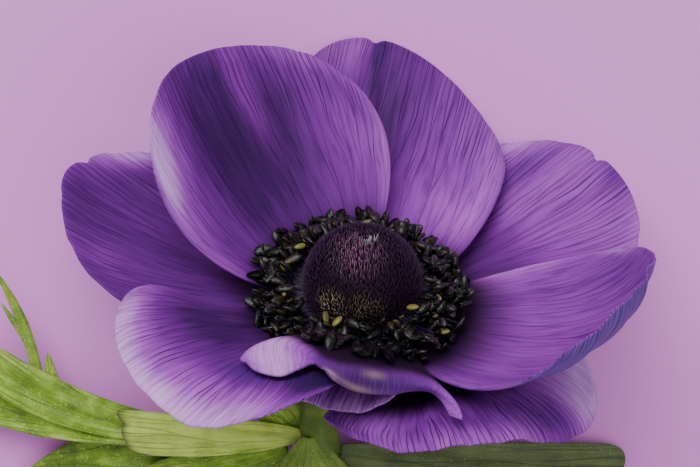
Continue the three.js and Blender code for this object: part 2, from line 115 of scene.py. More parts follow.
# Each tepal's blade, as it grows from its claw. Lengths in millimetres, angles in degrees.
# bearing, layer: the claw's bearing round the bloom's axis and its height.
# rise: slope at the claw, middle and tip; swing: sideways heading and how much it changes.
# twist, cup: roll and upturn of the sides, at the claw and the tip; rim: extra upturn of each margin.
# sides: how soon each side reaches full width; shoulder, round, skew: the outline of the end.
# notches: cuts in the end: place across, depth, and width as a share of the half width.
# tone: how light the tepal is drawn, from 0 to 1, partly its tissue's lightness and partly painted light
# and shade. dark: where along the blade the dark base fades out; this near black is partly the claw's
# own colour and partly painted shade under the anthers and neighbouring tepals.
# zones: soft patches, partly of the tissue, partly painted light where a margin faces the lamp and
# painted shade where a neighbour shades the blade: place along and across (0 to 1, -1 to 1), reach
# along and across, how much lighter, and how much rosier or, below 0, bluer.
# withered: patches that have dried to a dull brown: place and reach along and across.
TEPALS = {
    "tepal_back_left": dict(
        bearing=121.8, layer=0, length=34.8, half_width=17.5, shoulder=0.55, round=2.1, skew=0.05,
        swing=(7.6, -3), rise=(17.7, 37.7, 47.6), twist=(-4.6, 10.5), cup=(13.7, 38.6), rim=(0.4, -8.9),
        sides=(0.64, 0.64), tone=0.44, dark=(0.1, 0.34),
        # The strong light patch on the upturned left margin is painted light, and the dark middle patch
        # is partly painted shade.
        zones=[(0.86, 0.72, 0.26, 0.26, 0.6, -0.1), (0.42, 0.95, 0.24, 0.22, 0.14, 0.1),
               (0.6, 0.1, 0.34, 0.36, -0.27, 0), (0.93, 0.08, 0.08, 0.1, -0.06, -0.1),
               (0.8, -0.08, 0.22, 0.06, 0.16, 0.5), (0.72, -0.24, 0.3, 0.1, -0.08, 0),
               (0.35, -0.6, 0.2, 0.3, -0.02, 0.2), (0.6, -0.6, 0.25, 0.25, 0.12, 0.2),
               (0.6, -0.97, 0.6, 0.16, 0.3, 0.1), (1.02, -0.5, 0.12, 0.45, 0.24, 0)]),
    "tepal_back_middle": dict(
        bearing=77.5, layer=-1.3, length=36.5, half_width=15.2, shoulder=0.67, round=2.03, skew=0.15,
        swing=(7.5, -14.2), rise=(17, 12.3, 52), twist=(0, 11.5), cup=(19, 13.8), rim=(-5.2, 0.2),
        sides=(0.34, 0.34), notches=[(0.42, 0.7, 0.05)], tone=0.5, dark=(0.12, 0.3),
        zones=[(0.7, 0.1, 0.34, 0.14, -0.22, 0.1), (0.97, 0.45, 0.12, 0.25, 0.2, 0.4),
               (0.8, -0.75, 0.4, 0.34, 0.22, -0.1), (0.4, -0.55, 0.16, 0.4, 0.18, 0.5),
               (0.97, 0.24, 0.16, 0.06, -0.2, -0.4)]),
    "tepal_back_right": dict(
        bearing=32.1, layer=-2.4, length=35.1, half_width=16.8, shoulder=0.52, round=2.1, skew=0.03,
        swing=(1.3, -5.5), rise=(7.1, 8.7, 30.6), twist=(-3, -1.6), cup=(17.8, 5.9), rim=(-1, -2.3),
        sides=(3.4, 1.3), notches=[(0.25, 0.8, 0.05)], tone=0.6, dark=(0.22, 0.44),
        zones=[(0.42, 0.2, 0.13, 0.6, -0.3, 0), (0.42, -0.55, 0.2, 0.25, -0.2, 0),
               (0.7, -0.1, 0.3, 0.5, 0.04, 0.4), (1.0, 0.65, 0.16, 0.35, 0.26, 0),
               (0.85, 0.42, 0.2, 0.08, -0.12, -0.3), (1.0, 0, 0.07, 0.14, -0.14, -0.4),
               (1.02, -0.4, 0.12, 0.25, 0.16, -0.1)]),
    "tepal_right": dict(
        bearing=338.9, layer=0, length=39, half_width=14.6, shoulder=0.55, round=2.36, skew=-0.1,
        swing=(-6.3, 11), rise=(7.5, 24.4, 89.9), twist=(-1.9, -7), cup=(3, 36.5), rim=(44.4, 5.5),
        sides=(0.74, 0.74), tone=0.57, dark=(0.2, 0.44),
        zones=[(0.55, 0.97, 0.5, 0.16, 0.24, 0.2), (0.82, 0.4, 0.18, 0.3, -0.04, -0.15),
               (0.45, -0.75, 0.25, 0.24, -0.06, 0), (0.5, 0.1, 0.2, 0.4, 0.02, 0.2),
               (0.97, 0.7, 0.06, 0.2, 0.24, -0.2)]),
    "tepal_front_right": dict(
        bearing=315.5, layer=-3.4, length=25.6, half_width=17.9, shoulder=0.43, round=3.07, skew=-0.08,
        swing=(-2.3, -25.7), rise=(8.5, 16.1, 8.4), twist=(5, -18.4), cup=(34.2, -36.9), rim=(57.5, 55.3),
        sides=(2, 3.2), tone=0.46, dark=(0.52, 0.7),
        # Its light patches near the end are partly painted light, and its long dark base and the dark
        # blue patch are partly painted shade under tepal_right and the curled tepal.
        zones=[(0.78, 0.55, 0.16, 0.36, 0.32, 0.1), (0.93, 0.8, 0.12, 0.3, 0.55, 0),
               (1.0, 0, 0.12, 0.6, 0.22, 0.2), (0.8, -0.8, 0.2, 0.36, 0.26, 0.1),
               (0.9, 0.36, 0.14, 0.14, -0.2, -0.4)]),
    "tepal_front_inner": dict(
        bearing=259.9, layer=-0.7, length=15.4, half_width=9.5, shoulder=0.59, round=2.54, skew=0.03,
        swing=(-6.3, -8.6), rise=(6.2, 21.4, -13), twist=(2, 3.1), cup=(11.4, 7), rim=(-1, 4.8),
        # Its dark base fades out only near its end: partly painted shade under the curled tepal.
        sides=(1, 1), tone=0.7, dark=(0.45, 0.85),
        zones=[(1.02, 0, 0.1, 2, 0.16, 0.2), (0.9, 0.4, 0.2, 0.3, 0.08, 0.2)]),
    "tepal_front_left": dict(
        bearing=220.3, layer=0.5, length=30.8, half_width=15.8, shoulder=0.59, round=2.4, skew=0.06,
        swing=(8.7, -3.3), rise=(10.2, 24.7, -10.2), twist=(13.4, 5.7), cup=(11, 24.9), rim=(38.3, -3.1),
        sides=(0.97, 3), tone=0.54, dark=(0.2, 0.48),
        # The two dark bluish patches on its left half, towards the end, are painted shadow of the curled
        # tepal's lobe.
        zones=[(0.5, -0.45, 0.25, 0.5, -0.34, 0), (0.9, 0.55, 0.1, 0.25, 0.18, 0.3),
               (1.01, 0, 0.12, 0.8, 0.42, -0.1), (0.68, 0.32, 0.09, 0.28, -0.2, -0.4),
               (0.79, 0.95, 0.15, 0.28, -0.75, -0.2), (0.85, 0.1, 0.12, 0.3, 0.1, 0.4),
               (0.9, -0.65, 0.14, 0.3, 0.24, 0)]),
    "tepal_left": dict(
        bearing=158.6, layer=-1.7, length=38.5, half_width=16.4, shoulder=0.57, round=1.62, skew=-0.06,
        swing=(-3, -3.2), rise=(9.8, 9.7, 31), twist=(2.7, 11.6), cup=(16.6, 5.4), rim=(-3.8, 2.2),
        sides=(1, 1.7), notches=[(-0.22, 0.9, 0.06)], tone=0.36, dark=(0.2, 0.46),
        zones=[(0.97, -0.42, 0.08, 0.26, 0.5, 0.1), (0.9, 0.05, 0.1, 0.25, -0.08, 0),
               (1.03, 0.1, 0.04, 1, 0.24, -0.2), (0.85, 0.45, 0.15, 0.25, 0.14, 0.1),
               (0.6, 0.9, 0.4, 0.15, 0.14, 0)]),
}

# What a blade has where its own row says nothing. claw: the claw's width, as a share of the blade's.
PLAIN_BLADE = dict(claw=0.16, round=2, skew=0, sides=(1, 1), twist=(0, 0), rim=(0, 0), notches=())

# The small curled tepal in front: its tissue, the rows at its claw and under the anthers, and guide
# points on its crest and margin from its left lobe to the hook at its right end. Its light lobe is
# partly painted light, its dark blue band is painted shade where the curl turns from the lamp, and its
# near black base is painted shade under the anthers.
CURLED_TISSUE_AND_SHADE = dict(
    tone=0.5, dark=(0.58, 0.7),
    zones=[(0.85, -0.68, 0.4, 0.32, 0.5, 0.45), (0.82, 0.1, 0.3, 0.42, -0.1, -0.9),
           (0.85, 0.95, 0.3, 0.3, 0.2, 0.2)],
    withered=[(0.72, 0.16, 0.05, 0.06), (0.96, 0.06, 0.06, 0.12), (0.9, -0.14, 0.08, 0.05)])
CURLED_CLAW = dict(layer=0.9, turn=(264, 279))
CURLED_UNDER = dict(radius=9.6, height=(3.8, 2.2), turn=(243, 298))
CURLED_CREST = [
    (-13.6, -17.8, 9.2), (-12.5, -15, 8), (-9.8, -13.2, 7.2), (-7.1, -14.9, 7.6), (-5.2, -19.3, 10.1),
    (-3, -22, 11.6), (-0.1, -20.2, 9.2), (3.2, -18.9, 7.2), (6.1, -18.4, 6.2), (8.6, -19.1, 5.6),
    (10.4, -21, 5.2), (11.2, -23, 5),
]
CURLED_MARGIN = [
    (-13.6, -19.8, 10), (-12.2, -22.2, 11.2), (-9.5, -23.9, 12.2), (-7.3, -22.3, 11.7), (-5.4, -20.9, 11),
    (-3.3, -25.7, 13.4), (-0.7, -23.3, 8.9), (2.9, -21.3, 6.2), (5.8, -19.7, 5.2), (7.9, -19.4, 4.8),
    (9.2, -20.4, 4.4), (10.2, -23, 4.4),
]

# The stem's axis from the receptacle's neck, through the node, to the cut end.
NODE_AT = (-5.6, -19.1, -15.6)
# How much thicker the stem is at the node, and how far that reaches.
NODE_SWELLING = 0.38
NODE_REACH = 2.6
STEM_ROUTE = [
    (-4, -9.8, -9.2), (-6.1, -14.4, -12.9), NODE_AT, (-6, -26, -18.2), (-7.2, -36, -19.5),
    (-8.4, -52, -19.9), (-9.6, -72, -19.9), (-9.4, -96, -19.9), (-7.4, -122, -19.9), (-4.2, -146, -19.9),
]

# Leaf blades of the ruff. root is from the bloom's centre; bearings are seen from above.
# scar: where along the blade the brown of a torn end is full, and where it fades out.
RUFF = {
    "bract_left": [
        # The near half, which ends in a torn edge on top of the far half's two lobes. Its high tone is
        # partly painted light where the bloom shades it.
        dict(root=(-7.9, -17.8, -14.4), bearing=178.5, length=24.2, half_width=2.9, shoulder=0.9, round=6,
             skew=-0.05, swing=(4, -8), rise=(3, 0, -5), cup=(-18, -14), claw=0.08, sides=(0.4, 0.55),
             notches=[(-0.35, 0.6, 0.2)], tone=0.92, scar=(1.02, 0.94)),
        dict(root=(-26.5, -17.5, -16.4), bearing=176, length=33, half_width=2.6, shoulder=0.5,
             swing=(0, -12), rise=(0, -4, -6), cup=(20, 15), claw=0.7, tone=0.4),
        dict(root=(-25.5, -17, -16), bearing=177, length=34.5, half_width=2.9, shoulder=0.6, round=2,
             skew=0.1, swing=(0, -44), rise=(0, -2, -4), cup=(-15, 25), claw=0.56, tone=0.46),
        # The lower leaf and its neighbour.
        dict(root=(-11.5, -20.3, -16.4), bearing=182.5, length=36, half_width=6, shoulder=0.5, round=1.5,
             swing=(0, 10), rise=(-14, -6, 0), cup=(10, -10), claw=0.2, sides=(0.7, 0.7), tone=0.3),
        dict(root=(-9.8, -20, -15.5), bearing=199, length=21, half_width=3.6, shoulder=0.7, round=2.4,
             swing=(0, -8), rise=(-10, -8, -4), cup=(22, 18), claw=0.25, sides=(0.7, 0.7), tone=0.42),
        # A flap that stands behind the near half, beside the stem.
        dict(root=(-8.2, -17.4, -15.8), bearing=128, length=9.5, half_width=3.2, shoulder=0.6,
             swing=(0, 8), rise=(18, 10, 5), cup=(-10, -10), claw=0.5),
        # The forked leaflet.
        dict(root=(-43.4, -13.9, -18.4), bearing=93, length=19.8, half_width=0.72, shoulder=0.5,
             round=1.6, swing=(0, 28), rise=(6, 14, 16), cup=(30, 20), claw=0.9),
        dict(root=(-44.6, -6.6, -17.2), bearing=116, length=8, half_width=0.42, shoulder=0.4, round=1.6,
             swing=(0, 6), rise=(10, 20, 20), cup=(10, 0), claw=0.9),
        dict(root=(-41.6, -14, -18.3), bearing=95, length=7.6, half_width=1.4, shoulder=0.2, round=1.2,
             swing=(0, 0), rise=(10, 14, 14), cup=(10, 0), claw=0.9),
    ],
    "bract_right": [
        dict(root=(-3, -20.6, -15.6), bearing=348.6, length=38.6, half_width=5.4, shoulder=0.82, round=4,
             skew=0.06, swing=(0, 10), rise=(2, -9, -10), cup=(14, -6), claw=0.3, sides=(0.8, 0.8),
             notches=[(0.25, 1.6, 0.08), (-0.5, 2, 0.1)]),
        dict(root=(0.8, -21, -16), bearing=322, length=26, half_width=4.4, shoulder=0.6, swing=(0, 12),
             rise=(-12, -14, -6), cup=(10, -10), claw=0.35, sides=(0.8, 0.8), notches=[(0.1, 5, 0.2)]),
    ],
    "bract_front": [
        dict(root=(-7.2, -17.8, -12.4), bearing=256, length=34, half_width=4.6, shoulder=0.55,
             swing=(0, 6), rise=(-8, -8, -4), cup=(-34, -20), claw=0.05, sides=(0.6, 0.6),
             notches=[(-0.45, 9, 0.15), (0.4, 10, 0.15)]),
        dict(root=(-7, -17.9, -12.5), bearing=297, length=31, half_width=4.4, shoulder=0.6, swing=(0, -6),
             rise=(-10, -10, -8), cup=(-34, -20), claw=0.05, sides=(0.6, 0.6), notches=[(0.3, 7, 0.15)]),
    ],
}


# ---------------------------------------------------------------- settings


class ANEMONE_PG_bloom(bpy.types.PropertyGroup):
    tepal_thickness: bpy.props.FloatProperty(
        name="Tepal thickness", description="Thickness of a tepal away from its margins",
        default=0.5 * MM, min=0.2 * MM, max=0.7 * MM, unit="LENGTH")
    stamens: bpy.props.IntProperty(
        name="Stamens", description="How many stamens stand round the dome",
        default=330, min=20, max=400)
    carpels: bpy.props.IntProperty(
        name="Carpels", description="How many carpels cover the dome",
        default=4800, min=200, max=6000)
    petal_colour: bpy.props.StringProperty(
        name="Petal colour", description="Body colour of the tepals, as a hex value", default="722890")
    margin_colour: bpy.props.StringProperty(
        name="Margin colour", description="Pale colour of the tepals' margins, as a hex value",
        default="D8A6E8")
    vein_colour: bpy.props.StringProperty(
        name="Vein colour", description="Colour of the tepals' veins, as a hex value", default="260A3E")


class ANEMONE_PG_greens(bpy.types.PropertyGroup):
    leaf_thickness: bpy.props.FloatProperty(
        name="Leaf thickness", description="Thickness of the ruff's leaves",
        default=0.6 * MM, min=0.3 * MM, max=1 * MM, unit="LENGTH")
    hairs: bpy.props.IntProperty(
        name="Hairs", description="How many fine hairs stand on each bract of the ruff",
        default=900, min=0, max=4000)
    leaf_colour: bpy.props.StringProperty(
        name="Leaf colour", description="Body colour of the leaves, as a hex value", default="78A01C")
    stem_colour: bpy.props.StringProperty(
        name="Stem colour", description="Body colour of the stem, as a hex value", default="4A680C")


class ANEMONE_PG_stage(bpy.types.PropertyGroup):
    floor_size: bpy.props.FloatProperty(
        name="Floor size", description="Side of the plain floor",
        default=3, min=0.5, max=10, unit="LENGTH")
    floor_colour: bpy.props.StringProperty(
        name="Floor colour", description="Colour of the plain floor, as a hex value", default="E890E8")
    key_power: bpy.props.FloatProperty(
        name="Key light", description="Power of the large soft light",
        default=4.4, min=0, max=50, unit="POWER")
    fill_power: bpy.props.FloatProperty(
        name="Fill light", description="Power of the weaker light across from it",
        default=1.6, min=0, max=50, unit="POWER")


# ---------------------------------------------------------------- shared helpers


def linear(hex_colour):
    """An sRGB hex colour as a linear RGBA tuple."""
    shares = [int(hex_colour[i : i + 2], 16) / 255 for i in (0, 2, 4)]
    return tuple(s / 12.92 if s <= 0.04045 else ((s + 0.055) / 1.055) ** 2.4 for s in shares) + (1.0,)


def mix(a, b, share):
    return a + (b - a) * share


def smooth(low, high, value):
    share = min(max((value - low) / (high - low), 0), 1)
    return share * share * (3 - 2 * share)


def hump(value, centre, width):
    """A soft hump: 1 at the centre, fading to nothing over a few widths."""
    return math.exp(-(((value - centre) / width) ** 2))


def add_node(tree, kind, *values, sockets=(), stops=(), **settings):
    """Adds a node with its settings, its inputs' values or links, and a colour ramp's stops.

    kind is the node's type, followed by its operation if it has one. values fill the inputs in use
    in their order, and sockets fill them by name. A node among them stands for its first output.
    """
    kind, _, operation = kind.partition(" ")
    made = tree.nodes.new("ShaderNode" + kind)
    if operation:
        made.operation = operation
    for name, value in settings.items():
        setattr(made, name, value)
    in_use = [socket for socket in made.inputs if socket.enabled]
    named = [(made.inputs[name], value) for name, value in dict(sockets).items()]
    for socket, value in [*zip(in_use, values), *named]:
        if isinstance(value, bpy.types.Node):
            value = next(output for output in value.outputs if output.enabled)
        if isinstance(value, bpy.types.NodeSocket):
            tree.links.new(value, socket)
        else:
            socket.default_value = value
    if stops:
        elements = made.color_ramp.elements
        while len(elements) < len(stops):
            elements.new(0.5)
        for element, (place, colour) in zip(elements, stops):
            element.position = place
            element.color = linear(colour)
    return made


def new_material(name):
    """An empty material, and add_node for its tree."""
    material = bpy.data.materials.new(name)
    material.use_nodes = True
    material.node_tree.nodes.clear()
    return material, partial(add_node, material.node_tree)


def to_mesh(bm, name):
    mesh = bpy.data.meshes.new(name)
    bm.to_mesh(mesh)
    bm.free()
    return mesh


def make_piece(name, bm, place, materials, nodes):
    """Turns a bmesh in millimetres into a finished piece that stands for the named CAD nodes."""
    bmesh.ops.transform(bm, matrix=place, verts=bm.verts)
    mesh = to_mesh(bm, name)
    mesh.shade_smooth()
    for material in materials:
        mesh.materials.append(material)
    piece = bpy.data.objects.new(name, mesh)
    bpy.context.scene.collection.objects.link(piece)
    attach(piece, "root")
    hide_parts(*nodes)
    return piece


def tissue_and_shade_at(look, u, w):
    """Tissue at a point of a blade, with its painted light and shade: lightness, cast, the dark base's
    share, and how sound it is.

    The cast is 0.5 where the tissue is plain, more where it is rosier and less where it is bluer.
    """
    light, cast, sound = look["tone"], 0.0, 1.0
    for along, across, long, wide, lighter, rosier in look["zones"]:
        share = hump(u, along, long) * hump(w, across, wide)
        light += lighter * share
        cast += rosier * share
    for along, across, long, wide in look.get("withered", ()):
        sound -= hump(u, along, long) * hump(w, across, wide)
    dark = 1 - smooth(*look["dark"], u)
    return (min(max(light, 0), 1), min(max(0.5 + 0.5 * cast, 0), 1), dark, max(sound, 0))


def sheet_bmesh(surface, faces, thin_rim=0.45, look=None):
    """A grid laid on surface(u, w), with its own UV map and the thickness share at each point."""
    bm = bmesh.new()
    uv = bm.loops.layers.uv.new("blade")
    share = bm.verts.layers.deform.verify()
    # The tissue layer holds the tissue's lightness, cast and dark base together with the painted light
    # and shade laid into them.
    tissue = bm.verts.layers.float_color.new("tissue")
    bmesh.ops.create_grid(bm, x_segments=faces[0], y_segments=faces[1], size=1)
    for vert in bm.verts:
        u = (vert.co.x + 1) / 2
        w = vert.co.y
        for loop in vert.link_loops:
            loop[uv].uv = (u, (w + 1) / 2)
        edge = min(1 - abs(w), 1 - u) / RIM_SHARE
        vert[share][0] = mix(thin_rim, 1, smooth(0, 1, edge))
        if look:
            vert[tissue] = tissue_and_shade_at(look, u, w)
        vert.co = surface(u, w)
    return bm


def thicken(piece, thickness):
    """Gives a sheet its thickness, thinner towards its margins."""
    piece.vertex_groups.new(name="thickness")
    wall = piece.modifiers.new("Thickness", "SOLIDIFY")
    wall.thickness = thickness
    wall.offset = 0
    wall.vertex_group = "thickness"
    wall.thickness_vertex_group = 0
    wall.use_even_offset = False
    wall.material_offset = len(piece.data.materials) - 1


def strew(bm, template, places, tints=()):
    """Copies a small template mesh to each place, and stores a tint and the height along each copy."""
    layer = bm.verts.layers.float_color.new("tint")
    heights = [v.co.z for v in template.vertices]
    top = max(map(abs, heights))
    for place in places:
        copy = template.copy()
        copy.transform(place)
        bm.from_mesh(copy)
        bpy.data.meshes.remove(copy)
    for i, vert in enumerate(bm.verts):
        which, corner = divmod(i, len(heights))
        tint = tints[which] if tints else 0
        vert[layer] = (tint, abs(heights[corner]) / top, 0, 1)


def lathe(bm, profile, closed=False):
    """Spins a profile of (radius, height) round the z axis."""
    made = [bm.verts.new((radius, 0, height)) for radius, height in profile]
    following = made[1:] + made[:1] if closed else made[1:]
    edges = [bm.edges.new(pair) for pair in zip(made, following)]
    bmesh.ops.spin(
        bm, geom=made + edges, cent=(0, 0, 0), axis=(0, 0, 1), angle=2 * math.pi, steps=LATHE_STEPS,
        use_merge=True)


def tube_bmesh(routes, radius, sides=1):
    """Closed tubes along routes of (point, radius share), in millimetres."""
    curve = bpy.data.curves.new("routes", "CURVE")
    curve.dimensions = "3D"
    curve.bevel_depth = radius
    curve.bevel_resolution = sides
    curve.use_fill_caps = True
    for route in routes:
        spline = curve.splines.new("POLY")
        spline.points.add(len(route) - 1)
        for place, (point, share) in zip(spline.points, route):
            place.co = (*point, 1)
            place.radius = share
    holder = bpy.data.objects.new("routes", curve)
    bpy.context.scene.collection.objects.link(holder)
    mesh = bpy.data.meshes.new_from_object(holder.evaluated_get(bpy.context.evaluated_depsgraph_get()))
    bpy.data.objects.remove(holder)
    bpy.data.curves.remove(curve)
    bm = bmesh.new()
    bm.from_mesh(mesh)
    bpy.data.meshes.remove(mesh)
    close_shell(bm)
    return bm


def close_shell(bm):
    """Merges doubles and turns the faces outwards."""
    bmesh.ops.remove_doubles(bm, verts=bm.verts, dist=1e-4)
    bmesh.ops.recalc_face_normals(bm, faces=bm.faces)


def guide(points, share):
    """A point on a smooth curve through the points."""
    last = len(points) - 1
    place = min(max(share, 0), 1) * last
    i = min(int(place), last - 1)
    t = place - i
    p1, p2 = points[i], points[i + 1]
    p0 = points[i - 1] if i > 0 else 2 * p1 - p2
    p3 = points[i + 2] if i + 2 <= last else 2 * p2 - p1
    s1, s2 = (p2 - p0) / 2, (p3 - p1) / 2
    return p1 + s1 * t + (3 * (p2 - p1) - 2 * s1 - s2) * t**2 + (2 * (p1 - p2) + s1 + s2) * t**3


def polar(radius, bearing, height):
    turn = math.radians(bearing)
    return Vector((radius * math.cos(turn), radius * math.sin(turn), height))


# ---------------------------------------------------------------- blades


def blade_surface(blade, out=0, root=(0, 0, 0), relief=None):
    """A blade's middle surface from u, claw to end, and w, right margin to left.

    out is the claw's distance from the axis that the bearing turns round. relief(s, v) lifts the
    surface along its own normal, in millimetres.
    """
    blade = {**PLAIN_BLADE, **blade}
    rise, swing, twist, cups, rim = (
        [math.radians(a) for a in blade[key]] for key in ("rise", "swing", "twist", "cup", "rim"))
    # The axis runs on past the end, for surfaces whose outline passes it.
    steps, reach, arc_steps = 48, 1.15, 10

    def slope(s):
        bend = 4 * rise[1] - 3 * rise[0] - rise[2]
        return rise[0] + bend * s + (2 * rise[0] - 4 * rise[1] + 2 * rise[2]) * s * s

    def heading(s):
        return swing[0] + swing[1] * s

    stride = reach / steps
    centre = [Vector((0, 0, 0))]
    for i in range(steps):
        s = (i + 0.5) * stride
        flat = math.cos(slope(s))
        step = Vector((flat * math.cos(heading(s)), flat * math.sin(heading(s)), math.sin(slope(s))))
        centre.append(centre[-1] + step * stride * blade["length"])

    def end_share(v):
        curve = max(0, 1 - abs(v) ** blade["round"]) ** (1 / blade["round"])
        share = (blade["shoulder"] + (1 - blade["shoulder"]) * curve) * (1 + blade["skew"] * v)
        for place, depth, width in blade["notches"]:
            share -= depth / blade["length"] * hump(v, place, width)
        return share

    turn = Matrix.Translation(root) @ Matrix.Rotation(math.radians(blade["bearing"]), 4, "Z")

    def surface(u, w):
        v = math.sin(math.pi / 2 * w)
        s = u * end_share(v)
        side = 1 if v > 0 else 0
        grown = math.sin(math.pi / 2 * u) ** blade["sides"][side]
        half_width = blade["half_width"] * (blade["claw"] + (1 - blade["claw"]) * grown)
        cup = mix(cups[0], cups[1], s)
        turned = rim[side] * max(s, 0) ** 1.5
        sideways = upwards = 0
        for i in range(arc_steps):
            part = v * (i + 0.5) / arc_steps
            angle = cup * part + turned * math.copysign(part**4, part)
            sideways += math.cos(angle) / arc_steps
            upwards += math.sin(angle) / arc_steps
        b, g = slope(s), heading(s)
        up = Vector((-math.sin(b) * math.cos(g), -math.sin(b) * math.sin(g), math.cos(b)))
        left = Vector((-math.sin(g), math.cos(g), 0))
        roll = mix(twist[0], twist[1], s)
        over = left * math.cos(roll) + up * math.sin(roll)
        face = up * math.cos(roll) - left * math.sin(roll)
        place = min(max(s / stride, 0), steps - 1e-6)
        i = int(place)
        point = centre[i].lerp(centre[i + 1], place - i)
        point = point + half_width * v * (sideways * over + upwards * face)
        if relief:
            point += face * relief(s, v)
        point.x += out
        return turn @ point

    return surface


def tepal_relief(seed):
    """Soft lengthwise pleats that open towards the end, a little crumple and a wavy margin."""
    draw = random.Random(seed)
    pleats = [(draw.uniform(1.5, 2.4), 0.16), (draw.uniform(3.2, 4.4), 0.11), (draw.uniform(7, 9), 0.05)]
    phases = [draw.uniform(0, 2 * math.pi) for _ in pleats]

    def relief(s, v):
        grown = smooth(0.15, 0.75, s)
        waves = [
            height * math.sin(2 * math.pi * count * v + phase)
            for (count, height), phase in zip(pleats, phases)]
        crumple = 0.22 * noise.noise(Vector((2.2 * s + seed, 5 * v, 0)))
        margin = 0.1 * smooth(0.75, 1, max(abs(v), s)) * noise.noise(Vector((5 * s, 5 * v, seed)))
        return sum(waves) * grown + crumple * grown + margin

    return relief


def tepal_surface(name, relief=True):
    tepal = TEPALS[name]
    lift = tepal_relief(1 + list(TEPALS).index(name)) if relief else None
    return blade_surface(tepal, TEPAL_RING, (0, 0, tepal["layer"]), lift)


def curled_surface():
    """The small curled tepal, from rows at its claw, under the anthers, on its crest and margin."""
    last = len(CURLED_CREST) - 1
    shares = [i / last for i in range(last + 1)]
    claw = [polar(TEPAL_RING, mix(*CURLED_CLAW["turn"], t), CURLED_CLAW["layer"]) for t in shares]
    under = [
        polar(CURLED_UNDER["radius"], mix(*CURLED_UNDER["turn"], t), mix(*CURLED_UNDER["height"], t))
        for t in shares]
    rows = [claw, under, [Vector(p) for p in CURLED_CREST], [Vector(p) for p in CURLED_MARGIN]]

    def surface(u, w):
        return guide([guide(row, (w + 1) / 2) for row in rows], u)

    return surface


# ---------------------------------------------------------------- materials


def blade_grain(node, u, v, along, across, seed, detail):
    """A soft grain laid on a blade: so many grains along it and so many across it."""
    at = node("CombineXYZ", node("Math MULTIPLY", u, along), node("Math MULTIPLY", v, across), seed)
    return node("TexNoise", sockets={"Vector": at, "Scale": 1.0, "Detail": detail})


def vein_lines(node, u, v, count, seed, width):
    """Long veins that run along u and fork up to three times on the way.

    Gives 1 on a vein and 0 between them, and v as it bends with the veins.
    """
    wander = blade_grain(node, u, v, 2.2, 5.0, seed, 2.0)
    bent = node("Math MULTIPLY_ADD", node("Math SUBTRACT", wander, 0.5), 0.045, v)
    lines = node("Math MULTIPLY", bent, count)
    gap = node("Math SUBTRACT", node("Math FRACT", lines), 0.5)
    family = node("Math ADD", node("Math FLOOR", lines), seed)
    spread = 0.25
    for level, start in enumerate((0.12, 0.36, 0.6)):
        family = node("Math MULTIPLY_ADD", node("Math GREATER_THAN", gap, 0.0), 31.7 + level, family)
        chance = node("TexWhiteNoise", sockets={"W": family}, noise_dimensions="1D")
        fork = node("Math MULTIPLY_ADD", chance, 0.34, start)
        parted = node("Math ADD", fork, 0.4)
        opened = node("MapRange", u, fork, parted, 0.0, spread, interpolation_type="SMOOTHSTEP")
        gap = node("Math SUBTRACT", node("Math ABSOLUTE", gap), opened)
        spread /= 2
    gap = node("Math ABSOLUTE", gap)
    line = node("MapRange", gap, 0.0, width, 1.0, 0.0, interpolation_type="SMOOTHSTEP")
    fade = blade_grain(node, u, v, 4.0, 26.0, seed + 5, 1.0)
    return node("Math MULTIPLY", line, node("MapRange", fade, 0.35, 0.6, 0.35, 1.0)), bent


